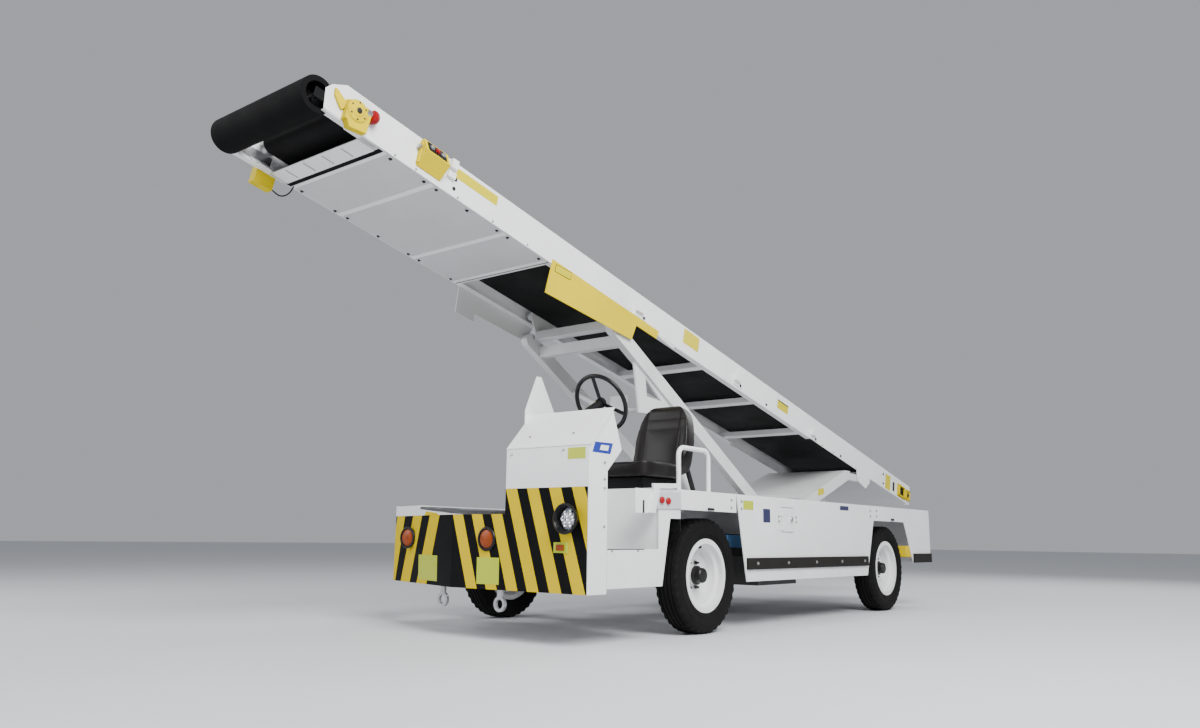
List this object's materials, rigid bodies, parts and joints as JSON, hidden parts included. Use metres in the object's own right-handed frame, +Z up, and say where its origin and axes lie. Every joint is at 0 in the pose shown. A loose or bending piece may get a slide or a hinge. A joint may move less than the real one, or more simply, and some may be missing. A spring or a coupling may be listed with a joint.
{
  "type": "airport belt loader",
  "caption": "Self-propelled belt loader for aircraft baggage: a low truck with an open driver's place beside a long belt conveyor raised on two lift frames.",
  "frame": {"origin": "on the ground, at the middle of the whole machine's length and width", "axes": "+X to the driver's side, +Y to the rear along the machine, +Z up"},
  "size_m": [2.088, 8.3398, 3.0189],
  "materials": {
    "white_paint": "satin white paint",
    "grey_paint": "satin pale grey paint",
    "yellow_paint": "satin yellow paint",
    "black_paint": "satin black paint",
    "dark_iron": "dull dark metal",
    "tyre": "matte black rubber",
    "black_rubber": "matte black rubber",
    "seat_vinyl": "semi-matte black vinyl",
    "black_plastic": "matte black plastic",
    "steel": "bare steel",
    "chrome": "polished"
  },
  "bodies": {
    "chassis": {"chassis_frame": "black_paint", "cowl": "white_paint", "driveline": "dark_iron", "foot_well": "white_paint", "front_axle": "dark_iron", "front_bumper": "white_paint", "grab_rail": "white_paint", "head_lamp": "black_plastic", "left_body": "white_paint", "outriggers": "black_paint", "rear_axle": "dark_iron", "rear_panel": "white_paint", "right_body": "white_paint", "rub_rails": "black_rubber", "seat_back": "seat_vinyl", "seat_base": "black_paint", "seat_cushion": "seat_vinyl", "steering_column": "black_plastic", "tow_rings": "steel"},
    "access_door": {"access_door": "white_paint"},
    "boom": {"belly_panels": "grey_paint", "belt": "black_rubber", "belt_pulleys": "steel", "boom_controls": "yellow_paint", "boom_frame": "white_paint", "boom_guards": "yellow_paint", "boom_rails": "white_paint"},
    "bump_roller": {"bump_roller": "black_rubber"},
    "front_barrel": {"front_barrel": "grey_paint"},
    "front_lift": {"front_lift": "white_paint"},
    "front_rod": {"front_rod": "chrome"},
    "knuckle_left": {"knuckle_left": "dark_iron"},
    "knuckle_right": {"knuckle_right": "dark_iron"},
    "lift_carriage": {"lift_carriage": "white_paint"},
    "rear_barrel": {"rear_barrel": "grey_paint"},
    "rear_lift": {"rear_lift": "white_paint"},
    "rear_pivot": {"rear_pivot": "steel"},
    "rear_rod": {"rear_rod": "chrome"},
    "wheel_front_left": {"rim_front_left": "white_paint", "tyre_front_left": "tyre"},
    "wheel_front_right": {"rim_front_right": "white_paint", "tyre_front_right": "tyre"},
    "wheel_rear_left": {"rim_rear_left": "white_paint", "tyre_rear_left": "tyre"},
    "wheel_rear_right": {"rim_rear_right": "white_paint", "tyre_rear_right": "tyre"},
    "steering_wheel": {"steering_wheel": "black_plastic"},
    "tie_rod": {"tie_rod": "dark_iron"}
  },
  "joints": [
    {"name": "front_lift", "type": "hinge", "parent": "chassis", "child": "front_lift", "pos_m": [-0.118, 0.89945, 0.76], "axis": [-1, 0, 0], "range_deg": [-28.5, 8]},
    {"name": "rear_lift", "type": "hinge", "parent": "chassis", "child": "rear_lift", "pos_m": [-0.118, 1.14945, 0.823], "axis": [1, 0, 0], "range_deg": [-11, 11]},
    {"name": "boom_carrier_turn", "type": "hinge", "parent": "rear_lift", "child": "rear_pivot", "pos_m": [-0.118, 2.74897, 1.27002], "axis": [-1, 0, 0], "range_deg": [-7.13, 7.13]},
    {"name": "boom_tilt", "type": "hinge", "parent": "rear_pivot", "child": "boom", "pos_m": [-0.118, 2.74897, 1.27002], "axis": [-1, 0, 0], "range_deg": [-16.83, 4.73]},
    {"name": "carriage_tilt", "type": "hinge", "parent": "front_lift", "child": "lift_carriage", "pos_m": [-0.118, -1.3627, 2.1653], "axis": [-1, 0, 0], "range_deg": [-3.29, 11.69]},
    {"name": "front_barrel_swing", "type": "hinge", "parent": "chassis", "child": "front_barrel", "pos_m": [0.215, 0.09945, 0.545], "axis": [1, 0, 0], "range_deg": [-11.31, 40.28]},
    {"name": "front_rod_slide", "type": "slide", "parent": "front_barrel", "child": "front_rod", "axis": [0, -0.6702, 0.7421], "range_m": [-0.2971, 0.0841]},
    {"name": "rear_barrel_swing", "type": "hinge", "parent": "chassis", "child": "rear_barrel", "pos_m": [-0.118, 2.54945, 0.58], "axis": [1, 0, 0], "range_deg": [-8.69, 8.69]},
    {"name": "rear_rod_slide", "type": "slide", "parent": "rear_barrel", "child": "rear_rod", "axis": [0, -0.8698, 0.4933], "range_m": [-0.0902, 0.0902]},
    {"name": "steering", "type": "hinge", "parent": "chassis", "child": "knuckle_left", "pos_m": [0.735, -1.27755, 0.378], "axis": [0, 0, 1], "range_deg": [-32, 32]},
    {"name": "steering_right", "type": "hinge", "parent": "chassis", "child": "knuckle_right", "pos_m": [-0.735, -1.27755, 0.378], "axis": [0, 0, 1], "range_deg": [-32.01, 32.01]},
    {"name": "tie_rod_turn", "type": "hinge", "parent": "knuckle_left", "child": "tie_rod", "pos_m": [0.735, -1.12755, 0.302], "axis": [0, 0, 1], "range_deg": [-32.01, 32.01]},
    {"name": "steering_wheel_turn", "type": "hinge", "parent": "chassis", "child": "steering_wheel", "pos_m": [0.7, -2.08555, 1.466], "axis": [0, 0.866, 0.5], "range_deg": [-256.1, 256.1]},
    {"name": "front_left_wheel_spin", "type": "hinge", "parent": "knuckle_left", "child": "wheel_front_left", "pos_m": [0.895, -1.27755, 0.378], "axis": [1, 0, 0], "continuous": true},
    {"name": "rear_left_wheel_spin", "type": "hinge", "parent": "chassis", "child": "wheel_rear_left", "pos_m": [0.895, 1.80845, 0.378], "axis": [1, 0, 0], "continuous": true},
    {"name": "front_right_wheel_spin", "type": "hinge", "parent": "knuckle_right", "child": "wheel_front_right", "pos_m": [-0.895, -1.27755, 0.378], "axis": [1, 0, 0], "continuous": true},
    {"name": "rear_right_wheel_spin", "type": "hinge", "parent": "chassis", "child": "wheel_rear_right", "pos_m": [-0.895, 1.80845, 0.378], "axis": [1, 0, 0], "continuous": true},
    {"name": "access_door_swing", "type": "hinge", "parent": "chassis", "child": "access_door", "pos_m": [1.037, -0.30305, 0.7685], "axis": [0, 0, -1], "range_deg": [0, 110]},
    {"name": "bump_roller_spin", "type": "hinge", "parent": "boom", "child": "bump_roller", "pos_m": [-0.118, -4.06491, 2.914], "axis": [1, 0, 0], "continuous": true}
  ],
  "couplings": [
    {"joint": "boom_carrier_turn", "follows": "rear_lift", "ratio": 0.6475},
    {"joint": "boom_tilt", "follows": "front_lift", "ratio": 0.5901},
    {"joint": "carriage_tilt", "follows": "front_lift", "ratio": -0.4099},
    {"joint": "front_barrel_swing", "follows": "front_lift", "ratio": -1.4129},
    {"joint": "front_rod_slide", "follows": "front_lift", "m_per_rad": 0.59522},
    {"joint": "rear_barrel_swing", "follows": "rear_lift", "ratio": -0.78897},
    {"joint": "rear_rod_slide", "follows": "rear_lift", "m_per_rad": 0.46477},
    {"joint": "steering_right", "follows": "steering", "ratio": 1},
    {"joint": "tie_rod_turn", "follows": "steering", "ratio": -1},
    {"joint": "steering_wheel_turn", "follows": "steering", "ratio": 8}
  ]
}
